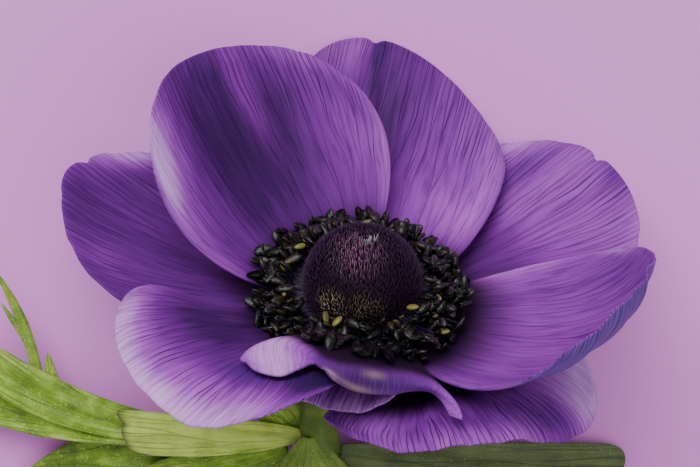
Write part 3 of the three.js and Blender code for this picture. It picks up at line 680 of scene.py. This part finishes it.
def petal_material(name, tones, vein, veins, seed, rosy="A23CB4", blue="3E2F9A"):
    """Petal tissue: a thin soft sheet with a matt sheen, and dark veins that fan and fork.

    The blade's UV map runs from the claw (u = 0) to the end, and across from the right margin.
    The tissue attribute gives the lightness, the cast, the dark base and what is still sound, with
    painted light and shade laid into the lightness, the bluer cast and the dark base.
    A broad tepal is about 35 mm wide, so its 15 veins stand about 2 mm apart before they fork.
    """
    material, node = new_material(name)
    u, v = node("SeparateXYZ", node("UVMap", uv_map="blade")).outputs[:2]
    net, bent = vein_lines(node, u, v, veins, seed, 0.03)
    tissue = node("Attribute", attribute_name="tissue")
    tone, cast, dark = node("SeparateColor", tissue.outputs["Color"]).outputs
    # Between the veins lie soft streaks of about 4 by 20 mm, and fine ones of 0.5 by 5 mm.
    streaks = node("Math SUBTRACT", blade_grain(node, u, bent, 1.6, 9.0, seed + 3.0, 2.0), 0.5)
    fine = node("Math SUBTRACT", blade_grain(node, u, bent, 7.0, 75.0, seed + 7.0, 3.0), 0.5)
    light = node("Math MULTIPLY_ADD", streaks, 0.24, tone)
    light = node("Math MULTIPLY_ADD", fine, 0.2, light)
    rosier = node("Math MAXIMUM", node("Math SUBTRACT", cast, 0.5), 0.0)
    bluer = node("Math MAXIMUM", node("Math SUBTRACT", 0.5, cast), 0.0)
    hair_veins = node("MapRange", fine, -0.03, -0.2, 0.0, 0.3)
    # The veins show least where the tissue is palest.
    shown = node("MapRange", light, 0.66, 1.0, 1.0, 0.3)
    withered = node("Math SUBTRACT", 1.0, tissue.outputs["Alpha"])
    layers = [
        (node("Math MULTIPLY", rosier, 0.9), rosy),
        # Bluer where the cast is low: partly painted shade.
        (node("Math MULTIPLY", bluer, 1.3), blue),
        (node("Math MAXIMUM", node("Math MULTIPLY", net, shown), hair_veins), vein),
        (node("Math MULTIPLY", withered, node("Math MULTIPLY_ADD", streaks, 1.6, 0.7)), "A08C7C"),
        # Near black towards the claw: partly the claw's own colour, partly painted shade under the
        # anthers and neighbouring tepals.
        (node("Math MULTIPLY", dark, 0.97), "070309"),
    ]
    colour = node("ValToRGB", light, stops=[(i / 4, hex_colour) for i, hex_colour in enumerate(tones)])
    for share, hex_colour in layers:
        colour = node("Mix", share, colour, linear(hex_colour), data_type="RGBA")
    relief = node("Math MULTIPLY_ADD", net, -0.6, node("Math MULTIPLY_ADD", streaks, 0.8, fine))
    bump = node("Bump", sockets={"Height": relief, "Strength": 0.3, "Distance": 0.15 * MM})
    shader = node("BsdfPrincipled", sockets={
        "Base Color": colour, "Normal": bump, "Roughness": 0.55, "IOR": 1.4, "Specular IOR Level": 0.16,
        "Sheen Weight": 0.03, "Sheen Roughness": 0.4, "Sheen Tint": linear("C9A6E6")})
    node("OutputMaterial", shader)
    return material


def spotted_material(name, colours, scale_mm, roughness, sheen=0.0):
    """Plain plant tissue, smooth and half matt, whose colour drifts between a few hex values.

    Its soft grain is scale_mm wide. Cells are finer still, so this is drawn as coarse as it shows.
    """
    material, node = new_material(name)
    grain = node("TexNoise", sockets={
        "Vector": node("TexCoord").outputs["Object"], "Scale": 1 / (scale_mm * MM), "Detail": 3.0,
        "Roughness": 0.6})
    stops = [(0.3 + 0.4 * i / (len(colours) - 1), colour) for i, colour in enumerate(colours)]
    bump = node("Bump", sockets={"Height": grain, "Strength": 0.3, "Distance": 0.1 * MM})
    shader = node("BsdfPrincipled", sockets={
        "Base Color": node("ValToRGB", grain, stops=stops), "Normal": bump, "Roughness": roughness,
        "IOR": 1.45, "Sheen Weight": sheen})
    node("OutputMaterial", shader)
    return material


def leaf_material(name, colour, dark, pale, seed, roughness=0.5):
    """Leaf blade: soft mottled green with a few forking furrows and a fine grain of pale glands.

    The tissue attribute gives the lightness and the brown of a torn edge. The mottles are 3.2 mm
    wide and the glands 0.42 mm, coarser than real ones so that they show.
    """
    material, node = new_material(name)
    u, v = node("SeparateXYZ", node("UVMap", uv_map="blade")).outputs[:2]
    place = node("TexCoord").outputs["Object"]
    furrows, _ = vein_lines(node, u, v, 2.6, seed, 0.022)
    patches, glands = (
        node("TexNoise", sockets={"Vector": place, "Scale": 1 / (size * MM), "Detail": detail})
        for size, detail in ((3.2, 3.0), (0.42, 2.0)))
    streaks = blade_grain(node, u, v, 4.0, 16.0, 0.0, 4.0)
    tissue = node("Attribute", attribute_name="tissue")
    tone, _, torn = node("SeparateColor", tissue.outputs["Color"]).outputs
    light = node("Math MULTIPLY_ADD", patches, 0.5, node("Math MULTIPLY", streaks, 0.4))
    light = node("Math ADD", light, node("Math MULTIPLY_ADD", tone, 0.4, -0.1))
    layers = [
        (node("Math MULTIPLY", furrows, 0.55), dark),
        (node("MapRange", glands, 0.58, 0.72, 0.0, 0.5), pale),
        (torn, "3A2412"),
    ]
    skin = node("ValToRGB", light, stops=[(0.34, dark), (0.54, colour), (0.76, pale)])
    for share, hex_colour in layers:
        skin = node("Mix", share, skin, linear(hex_colour), data_type="RGBA")
    height = node("Math MULTIPLY_ADD", glands, 0.5, patches)
    height = node("Math MULTIPLY_ADD", furrows, -0.8, height)
    bump = node("Bump", sockets={"Height": height, "Strength": 0.6, "Distance": 0.3 * MM})
    shader = node("BsdfPrincipled", sockets={
        "Base Color": skin, "Normal": bump, "Roughness": roughness, "IOR": 1.42, "Sheen Weight": 0.2})
    node("OutputMaterial", shader)
    return material


# ---------------------------------------------------------------- operators


class ANEMONE_OT_tepals(bpy.types.Operator):
    """Builds the eight broad tepals and the small curled one"""

    bl_idname = "anemone.tepals"
    bl_label = "Tepals"

    def execute(self, context):
        settings = context.scene.anemone_bloom
        tones = ["1E0C2E", "3C1456", settings.petal_colour, "A656C0", settings.margin_colour]
        # The underside is drawn bluer, partly as painted shade where it turns away from the lamp.
        under = ["1C123C", "382868", "5A4292", "8668B2", "B49CD4"]
        under_vein = "1C1446"
        for i, name in enumerate(TEPALS):
            small = name == "tepal_front_inner"
            faces, veins = (SMALL_SHEET, 8) if small else (BROAD_SHEET, 15)
            bm = sheet_bmesh(tepal_surface(name), faces, look=TEPALS[name])
            which = name.replace("tepal_", "").replace("_", " ")
            seed = 3.7 * i + 1
            upper = petal_material(f"petal tissue, {which}", tones, settings.vein_colour, veins, seed)
            lower = petal_material(
                f"petal tissue, silky underside, {which}", under, under_vein, veins, seed)
            piece = make_piece(f"{name}_petal", bm, BLOOM, [upper, lower], [name])
            thicken(piece, settings.tepal_thickness)
        bm = sheet_bmesh(curled_surface(), CURLED_SHEET, 0.7, CURLED_TISSUE_AND_SHADE)
        # Its bluer cast is a deep blue: painted shade on the curl's band.
        upper = petal_material("petal tissue, curled", tones, "5C3A86", 15, 40.0, blue="2A1E4A")
        lower = petal_material("petal tissue, silky underside, curled", under, under_vein, 15, 40.0)
        piece = make_piece(
            "tepal_curled_petal", bm, BLOOM, [upper, lower], ["tepal_curled"])
        thicken(piece, settings.tepal_thickness)
        return {"FINISHED"}


class ANEMONE_OT_pistil(bpy.types.Operator):
    """Builds the dome of carpels and the pale tuft at its top"""

    bl_idname = "anemone.pistil"
    bl_label = "Dome of carpels"

    def execute(self, context):
        settings = context.scene.anemone_bloom
        draw = random.Random(5)
        flesh = spotted_material("dome flesh, velvety", ["08040B", "120716"], 0.6, 0.8)
        centre = Vector((0, 0, DOME_CENTRE))
        core = DOME_RADIUS - STYLE_ROOM
        bm = bmesh.new()
        bmesh.ops.create_uvsphere(bm, u_segments=64, v_segments=32, radius=core)
        bmesh.ops.translate(bm, vec=centre, verts=bm.verts)
        # Low down the dome narrows to its neck on the receptacle.
        for vert in bm.verts:
            if vert.co.z < DOME_UNDERSIDE - 0.6:
                out = vert.co.xy.length
                vert.co.xy *= min(1, DOME_NECK_RADIUS / out) if out > 1e-6 else 1
                vert.co.z = max(vert.co.z, RECEPTACLE_TOP + 0.3)
        make_piece("dome_flesh", bm, BLOOM, [flesh], ["pistil"])

        places = []
        lowest = (DOME_UNDERSIDE - DOME_CENTRE - STYLE_LOWEST) / DOME_RADIUS
        for i in range(settings.carpels):
            height = mix(1, lowest, (i + 0.5) / settings.carpels)
            around = i * GOLDEN_ANGLE
            out = math.sqrt(1 - height * height)
            normal = Vector((out * math.cos(around), out * math.sin(around), height))
            up = (Vector((0, 0, 1)) - normal * height).normalized()
            side = Vector((-normal.y, normal.x, 0))
            lean = 0.9 * out + draw.uniform(-0.15, 0.15)
            aim = (normal + up * lean + side * draw.gauss(0, 0.14)).normalized()
            length = draw.uniform(*STYLE_LENGTH)
            # The bend of each style is turned towards the top of the dome.
            bend = (up - aim * up.dot(aim)).normalized()
            turn = Matrix((bend, aim.cross(bend), aim)).transposed().to_4x4()
            foot = Matrix.Translation(centre + normal * (core - STYLE_ROOT))
            places.append(foot @ turn @ Matrix.Diagonal((1, 1, length, 1)))
        bm = bmesh.new()
        strew(bm, self.style_template(), places, [draw.random() for _ in places])
        make_piece("dome_carpels", bm, BLOOM, [self.style_material()], ["pistil"])

        # The pale tuft of withered styles at the top.
        routes = []
        top = DOME_CENTRE + DOME_RADIUS - 0.4
        for _ in range(TUFT_STYLES):
            foot = Vector((TUFT_FOOT[0] + draw.gauss(0, 0.3), TUFT_FOOT[1] + draw.gauss(0, 0.3), top))
            aim = Vector((draw.gauss(0, 0.35), draw.gauss(0.1, 0.35), 1)) * draw.uniform(0.6, 1.1)
            routes.append([(foot + aim * t, 1 - 0.6 * t) for t in (0, 0.5, 1)])
        tuft = spotted_material("withered style, ash grey", ["4A4B56", "8B8E92", "B0B3B0"], 0.5, 0.6)
        make_piece("dome_tuft", tube_bmesh(routes, 0.075), BLOOM, [tuft], ["pistil"])
        return {"FINISHED"}

    def style_template(self):
        """One carpel's style, 1 mm long: a slender spike that bends towards its tip."""
        bm = bmesh.new()
        bmesh.ops.create_cone(bm, segments=3, radius1=0.09, radius2=0.06, depth=0.5)
        bmesh.ops.translate(bm, vec=(0, 0, 0.25), verts=bm.verts)
        ends = [v for v in bm.verts if v.co.z > 0.4]
        rim = [e for e in bm.edges if e.verts[0] in ends and e.verts[1] in ends]
        grown = bmesh.ops.extrude_edge_only(bm, edges=rim)["geom"]
        tips = [g for g in grown if isinstance(g, bmesh.types.BMVert)]
        bmesh.ops.scale(bm, vec=(0.3, 0.3, 1), verts=tips)
        bmesh.ops.translate(bm, vec=(0.16, 0, 0.5), verts=tips)
        bmesh.ops.holes_fill(bm, edges=bm.edges, sides=3)
        bmesh.ops.recalc_face_normals(bm, faces=bm.faces)
        return to_mesh(bm, "style")

    def style_material(self):
        """Carpel tips: near black at the foot, plum at the tip, a painted rosy highlight on top, pale
        gold low in front.
        """
        material, node = new_material("carpel style, plum with rosy and golden tips")
        place = node("TexCoord").outputs["Object"]
        # How near a style is to three spots of the flower's frame, in millimetres. The rosy spot is a
        # painted highlight on the dome's top.
        rosy, golden, faint = (
            node(
                "MapRange", node("VectorMath DISTANCE", place, FLOWER @ Vector(spot)),
                inner * MM, outer * MM, 1.0, 0.0, interpolation_type="SMOOTHSTEP")
            for spot, inner, outer in (
                ((-0.8, 7, 8.8), 0.8, 5), ((-3.9, 0.4, 8.6), 0.8, 3), ((0.4, -0.5, 9.4), 0.6, 3.6)))
        golden = node("Math MAXIMUM", golden, node("Math MULTIPLY", faint, 0.7))
        tint = node("Attribute", attribute_name="tint").outputs["Color"]
        luck, height, _ = node("SeparateColor", tint).outputs
        tip = node("MapRange", height, 0.45, 1.0)
        lit = node("Math MULTIPLY", tip, node("MapRange", luck, 0.2, 0.8))
        layers = [
            (tip, "4A2852"),
            # Painted highlight: rosy tips on the dome's top.
            (node("Math MULTIPLY", rosy, lit), "D08CB8"),
            (node("Math MULTIPLY", golden, lit), "E6D69A"),
        ]
        colour = linear("140A18")
        for share, hex_colour in layers:
            colour = node("Mix", share, colour, linear(hex_colour), data_type="RGBA")
        shader = node("BsdfPrincipled", sockets={
            "Base Color": colour, "Roughness": 0.45, "IOR": 1.45, "Specular IOR Level": 0.3})
        node("OutputMaterial", shader)
        return material


class ANEMONE_OT_stamens(bpy.types.Operator):
    """Builds the ring of stamens: filaments that arch from the collar, each with its anther"""

    bl_idname = "anemone.stamens"
    bl_label = "Stamens"

    def execute(self, context):
        settings = context.scene.anemone_bloom
        draw = random.Random(11)
        floor_of = self.tepal_tops()
        inner, outer = STAMEN_TIPS
        routes, places, tints = [], [], []
        for i in range(settings.stamens):
            share = (i + 0.5) / settings.stamens
            around = (math.degrees(i * GOLDEN_ANGLE) + draw.uniform(-4, 4)) % 360
            # The ring is wider on the left, and widest in front.
            on_left = hump(around, 180, 60)
            in_front = hump(around, 275, 34)
            reach = mix(inner[0] + 0.7 * on_left, outer[0] + 0.9 * on_left + 3 * in_front, share**0.9)
            reach += draw.uniform(-0.4, 0.4)
            height = mix(inner[1], outer[1], share) + draw.uniform(-1.3, 0.7)
            tip = polar(reach, around, height)
            tip.z = max(tip.z, floor_of(tip) + ANTHER_CLEARANCE)
            root = polar(STAMEN_ROOT[0], around + draw.uniform(-4, 4), STAMEN_ROOT[1])
            knee = polar(STAMEN_KNEE[0], around, STAMEN_KNEE[1])
            knee.z = max(knee.z, floor_of(knee) + FILAMENT_CLEARANCE)
            bow = knee.lerp(tip, 0.5) + polar(0.35, around, 0)
            bow.z = max(bow.z, floor_of(bow) + FILAMENT_CLEARANCE)
            path = [root, knee, bow, tip]
            routes.append([(guide(path, t / 8), 1 - 0.35 * t / 8) for t in range(9)])
            lean = Matrix.Rotation(math.radians(around + draw.gauss(0, 50)), 4, "Z")
            pitch = Matrix.Rotation(draw.uniform(-1.1, 0.4), 4, "Y")
            pitch = pitch @ Matrix.Rotation(draw.uniform(-0.7, 0.7), 4, "X")
            # Anthers near the dome on the left and in front are the ripest: small, olive to gold.
            chance = 0.34 if reach < 10.2 and 140 < around < 320 else 0.02
            ripe = draw.random() < chance
            size = draw.uniform(0.6, 0.8) if ripe else draw.uniform(0.85, 1.12)
            # The rest are black to dark olive, and the outermost in front are plain black as painted
            # shade.
            darkest = 0.66 if reach < 11.5 and 120 < around < 230 else 0.56
            darkest = mix(darkest, 0.05, in_front * min(1, 1.6 * share))
            tints.append(draw.uniform(0.72, 1) if ripe else draw.uniform(0, darkest))
            shape = (size, size * draw.uniform(0.8, 1.1), size * draw.uniform(0.85, 1.1), 1)
            places.append(Matrix.Translation(tip) @ lean @ pitch @ Matrix.Diagonal(shape))
        bm = tube_bmesh(routes, FILAMENT_RADIUS)
        lathe(bm, COLLAR, closed=True)
        bmesh.ops.recalc_face_normals(bm, faces=bm.faces)
        filament = spotted_material("filament, blue violet", ["07030C", "150A26", "301C50"], 0.8, 0.5)
        make_piece("filaments", bm, BLOOM, [filament], ["stamens"])
        bm = bmesh.new()
        strew(bm, self.anther_template(), places, tints)
        make_piece("anthers", bm, BLOOM, [self.anther_material()], ["stamens"])
        return {"FINISHED"}

    def tepal_tops(self):
        """Height of the highest tepal under a point of the bloom's frame."""
        trees = []
        for surface in [tepal_surface(name, False) for name in TEPALS] + [curled_surface()]:
            bm = sheet_bmesh(surface, (30, 30))
            trees.append(bvhtree.BVHTree.FromBMesh(bm))
            bm.free()

        def height(point):
            # An anther reaches past its own middle, so the places round the point count too.
            top = TOPS_FROM_TO[1]
            for dx, dy in ((0, 0), (0.7, 0), (-0.7, 0), (0, 0.7), (0, -0.7)):
                for tree in trees:
                    above = Vector((point.x + dx, point.y + dy, TOPS_FROM_TO[0]))
                    hit = tree.ray_cast(above, Vector((0, 0, -1)))[0]
                    if hit:
                        top = max(top, hit.z)
            return top

        return height

    def anther_template(self):
        """A waxy pod of two lobes with a furrow along it, 2.3 mm long."""
        bm = bmesh.new()
        bmesh.ops.create_uvsphere(bm, u_segments=8, v_segments=7, radius=1)
        bmesh.ops.rotate(bm, matrix=Matrix.Rotation(math.pi / 2, 3, "Y"), verts=bm.verts)
        length, width, height = ANTHER_HALF_SIZE
        for vert in bm.verts:
            around = abs(math.atan2(vert.co.z, vert.co.y))
            furrow = 1 - 0.55 * hump(around, math.pi / 2, 0.3)
            taper = 1 - 0.12 * vert.co.x
            x, y, z = vert.co
            vert.co = (length * x, width * y * furrow * taper, height * z * furrow * taper)
        return to_mesh(bm, "anther")

    def anther_material(self):
        """Anther skin: waxy, from blue black and green black to olive gold where ripe, finely grained,
        with painted glints.
        """
        material, node = new_material("anther skin, waxy, black green to olive")
        tint = node("Attribute", attribute_name="tint").outputs["Color"]
        ripeness, height, _ = node("SeparateColor", tint).outputs
        grain = node("TexNoise", sockets={
            "Vector": node("TexCoord").outputs["Object"], "Scale": 1 / (0.55 * MM), "Detail": 3.0,
            "Roughness": 0.7})
        skin = node("ValToRGB", ripeness, stops=[
            (0, "04050A"), (0.3, "060704"), (0.6, "15170D"), (0.74, "3C3A1A"), (1, "8A8038")])
        # Painted highlights: grey glints in patches over the skin, and pale rims along each anther's
        # sides.
        glint_patches = node("MapRange", grain, 0.5, 0.68, 0.0, 0.5)
        rim_glints = node("MapRange", height, 0.45, 0.0, 0.0, 0.34)
        # The anthers with the lowest tints, most of them low in front, are plain black and hardly shine:
        # painted shade, partly.
        grown = node("MapRange", ripeness, 0.0, 0.25, 0.12, 1.0)
        pale = node("Math MULTIPLY", node("Math MAXIMUM", glint_patches, rim_glints), grown)
        shader = node("BsdfPrincipled", sockets={
            "Base Color": node("Mix", pale, skin, linear("545448"), data_type="RGBA"),
            "Normal": node("Bump", sockets={"Height": grain, "Strength": 0.5, "Distance": 0.12 * MM}),
            "Roughness": 0.22, "IOR": 1.5, "Specular IOR Level": node("Math MULTIPLY", grown, 0.34)})
        node("OutputMaterial", shader)
        return material


class ANEMONE_OT_stem(bpy.types.Operator):
    """Builds the receptacle and the stem with its swollen node"""

    bl_idname = "anemone.stem"
    bl_label = "Stem"

    def execute(self, context):
        settings = context.scene.anemone_greens
        tilt = Matrix.Rotation(-math.radians(BLOOM_TILT), 4, "X")
        axis = tilt.to_3x3() @ Vector((0, 0, 1))
        points = [axis * RECEPTACLE_BOTTOM, axis * RECEPTACLE_NECK, *map(Vector, STEM_ROUTE)]
        route = []
        for i in range(STEM_STEPS + 1):
            point = guide(points, i / STEM_STEPS)
            away = (point - Vector(NODE_AT)).length
            route.append((point, 1 + NODE_SWELLING * hump(away, 0, NODE_REACH)))
        bm = tube_bmesh([route], STEM_RADIUS, 6)
        receptacle = bmesh.new()
        lathe(receptacle, [
            (0, RECEPTACLE_NECK), (STEM_RADIUS, RECEPTACLE_NECK),
            (STEM_RADIUS + 0.9, RECEPTACLE_BOTTOM - 1.4), (RECEPTACLE_RADIUS, RECEPTACLE_BOTTOM),
            (RECEPTACLE_RADIUS, RECEPTACLE_TOP), (0, RECEPTACLE_TOP)])
        bmesh.ops.transform(receptacle, matrix=tilt, verts=receptacle.verts)
        bm.from_mesh(to_mesh(receptacle, "receptacle"))
        close_shell(bm)
        colours = ["3E590A", settings.stem_colour, "688614"]
        skin = spotted_material("stem skin, fresh green", colours, 3.0, 0.5, sheen=0.05)
        make_piece("stem_skin", bm, FLOWER, [skin], ["stem"])
        return {"FINISHED"}


class ANEMONE_OT_ruff(bpy.types.Operator):
    """Builds the leaves of the ruff with their furrows and fine hairs"""

    bl_idname = "anemone.ruff"
    bl_label = "Leafy ruff"

    def execute(self, context):
        settings = context.scene.anemone_greens
        draw = random.Random(23)
        looks = {
            "bract_left": leaf_material(
                "leaf blade, bright green", settings.leaf_colour, "3C560C", "C2DC5C", 2.0),
            # The right bract is drawn in darker, duller greens, partly as painted shade under the bloom.
            "bract_right": leaf_material(
                "leaf blade, dull green in painted shade", "58683A", "38452A", "708046", 9.0, roughness=0.65),
            "bract_front": leaf_material("leaf blade, fresh green", "64861A", "36500C", "98B248", 15.0),
        }
        hair = spotted_material("leaf hair, clear", ["DDE6C0", "F2F5E2"], 1.0, 0.3)
        for name, blades in RUFF.items():
            whole = bmesh.new()
            whole.loops.layers.uv.new("blade")
            whole.verts.layers.deform.verify()
            whole.verts.layers.float_color.new("tissue")
            places = []
            for i, blade in enumerate(blades):
                slim = blade["half_width"] < 2
                relief = None if slim else self.leaf_relief(i)
                surface = blade_surface(blade, root=blade["root"], relief=relief)
                look = dict(tone=blade.get("tone", 0.5), zones=[], dark=blade.get("scar", (-1, -0.5)))
                bm = sheet_bmesh(surface, SLIM_LEAF_SHEET if slim else LEAF_SHEET, 0.6, look)
                whole.from_mesh(to_mesh(bm, "blade"))
                for _ in range(settings.hairs // len(blades)):
                    u, w = draw.uniform(0.05, 0.97), draw.uniform(-0.98, 0.98)
                    here = surface(u, w)
                    normal = (surface(u + 0.01, w) - here).cross(surface(u, w + 0.01) - here).normalized()
                    aim = (normal + 0.5 * Vector((draw.gauss(0, 1), draw.gauss(0, 1), 0))).normalized()
                    length = draw.uniform(0.2, 0.45)
                    turn = aim.to_track_quat("Z", "Y").to_matrix().to_4x4()
                    foot = Matrix.Translation(here + normal * 0.25)
                    places.append(foot @ turn @ Matrix.Diagonal((1, 1, length, 1)))
            piece = make_piece(f"{name}_leaf", whole, FLOWER, [looks[name]], [name])
            thicken(piece, settings.leaf_thickness)
            bm = bmesh.new()
            strew(bm, self.hair_template(), places)
            make_piece(f"{name}_hairs", bm, FLOWER, [hair], [name])
        return {"FINISHED"}

    def hair_template(self):
        """One hair, 1 mm long and 0.06 mm thick at its foot."""
        bm = bmesh.new()
        bmesh.ops.create_cone(bm, cap_ends=True, segments=3, radius1=0.03, radius2=0.012, depth=1)
        bmesh.ops.translate(bm, vec=(0, 0, 0.5), verts=bm.verts)
        return to_mesh(bm, "hair")

    def leaf_relief(self, seed):
        """Furrows along the leaf and a slight waviness."""

        def relief(s, v):
            fold = math.sin(2 * math.pi * (0.8 * v + 0.25 * math.sin(3 * s)) + seed)
            wave = noise.noise(Vector((4 * s, 2 * v, seed + 3)))
            return 0.22 * fold * smooth(0.02, 0.2, s) + 0.7 * wave * smooth(0.05, 0.3, s)

        return relief


class ANEMONE_OT_stage(bpy.types.Operator):
    """Builds the plain floor, the soft lights and the camera"""

    bl_idname = "anemone.stage"
    bl_label = "Stage"

    def execute(self, context):
        settings = context.scene.anemone_stage
        link = context.scene.collection.objects.link
        bm = bmesh.new()
        bmesh.ops.create_grid(bm, x_segments=1, y_segments=1, size=settings.floor_size / 2)
        floor = bpy.data.objects.new("floor", to_mesh(bm, "floor"))
        link(floor)
        material, node = new_material("matt paint, pale")
        colour = linear(settings.floor_colour)
        node("OutputMaterial", node("BsdfPrincipled", sockets={"Base Color": colour, "Roughness": 0.9}))
        floor.data.materials.append(material)

        bloom = BLOOM_CENTRE * MM
        for name, power, size, offset in (
            ("key", settings.key_power, 0.6, Vector((-0.16, 0.42, 0.52))),
            ("fill", settings.fill_power, 0.8, Vector((0.32, -0.22, 0.6))),
        ):
            light = bpy.data.lights.new(name, "AREA")
            light.shape = "DISK"
            light.size = size
            light.energy = power
            lamp = bpy.data.objects.new(name, light)
            lamp.location = bloom + offset
            lamp.rotation_euler = (-offset).to_track_quat("-Z", "Y").to_euler()
            link(lamp)

        world = bpy.data.worlds.new("soft room")
        world.use_nodes = True
        world.node_tree.nodes.clear()
        glow = add_node(world.node_tree, "Background", linear("EDE6F0"), 0.55)
        add_node(world.node_tree, "OutputWorld", glow)
        context.scene.world = world

        data = bpy.data.cameras.new("camera")
        data.lens = CAMERA_LENS
        data.clip_start = 0.01
        camera = bpy.data.objects.new("camera", data)
        camera.location = (BLOOM_CENTRE + CAMERA_FROM_BLOOM) * MM
        link(camera)
        context.scene.camera = camera
        return {"FINISHED"}


class ANEMONE_PT_sidebar(bpy.types.Panel):
    """Lists the flower's settings and pieces"""

    bl_idname = "ANEMONE_PT_sidebar"
    bl_label = "Anemone flower"
    bl_space_type = "VIEW_3D"
    bl_region_type = "UI"
    bl_category = "Anemone"

    def draw(self, context):
        for group in GROUPS:
            box = self.layout.box()
            for name in group.__annotations__:
                box.prop(getattr(context.scene, GROUPS[group]), name)
        for operator in OPERATORS:
            self.layout.operator(operator.bl_idname)


GROUPS = {
    ANEMONE_PG_bloom: "anemone_bloom",
    ANEMONE_PG_greens: "anemone_greens",
    ANEMONE_PG_stage: "anemone_stage",
}
OPERATORS = [
    ANEMONE_OT_stage,
    ANEMONE_OT_tepals,
    ANEMONE_OT_pistil,
    ANEMONE_OT_stamens,
    ANEMONE_OT_stem,
    ANEMONE_OT_ruff,
]


def register():
    for group, name in GROUPS.items():
        bpy.utils.register_class(group)
        setattr(bpy.types.Scene, name, bpy.props.PointerProperty(type=group))
    for part in [*OPERATORS, ANEMONE_PT_sidebar]:
        bpy.utils.register_class(part)


def unregister():
    for part in reversed([*OPERATORS, ANEMONE_PT_sidebar]):
        bpy.utils.unregister_class(part)
    for group, name in GROUPS.items():
        delattr(bpy.types.Scene, name)
        bpy.utils.unregister_class(group)


def main():
    register()
    bpy.ops.anemone.stage()
    bpy.ops.anemone.tepals()
    bpy.ops.anemone.pistil()
    bpy.ops.anemone.stamens()
    bpy.ops.anemone.stem()
    bpy.ops.anemone.ruff()


if __name__ == "__main__":
    main()
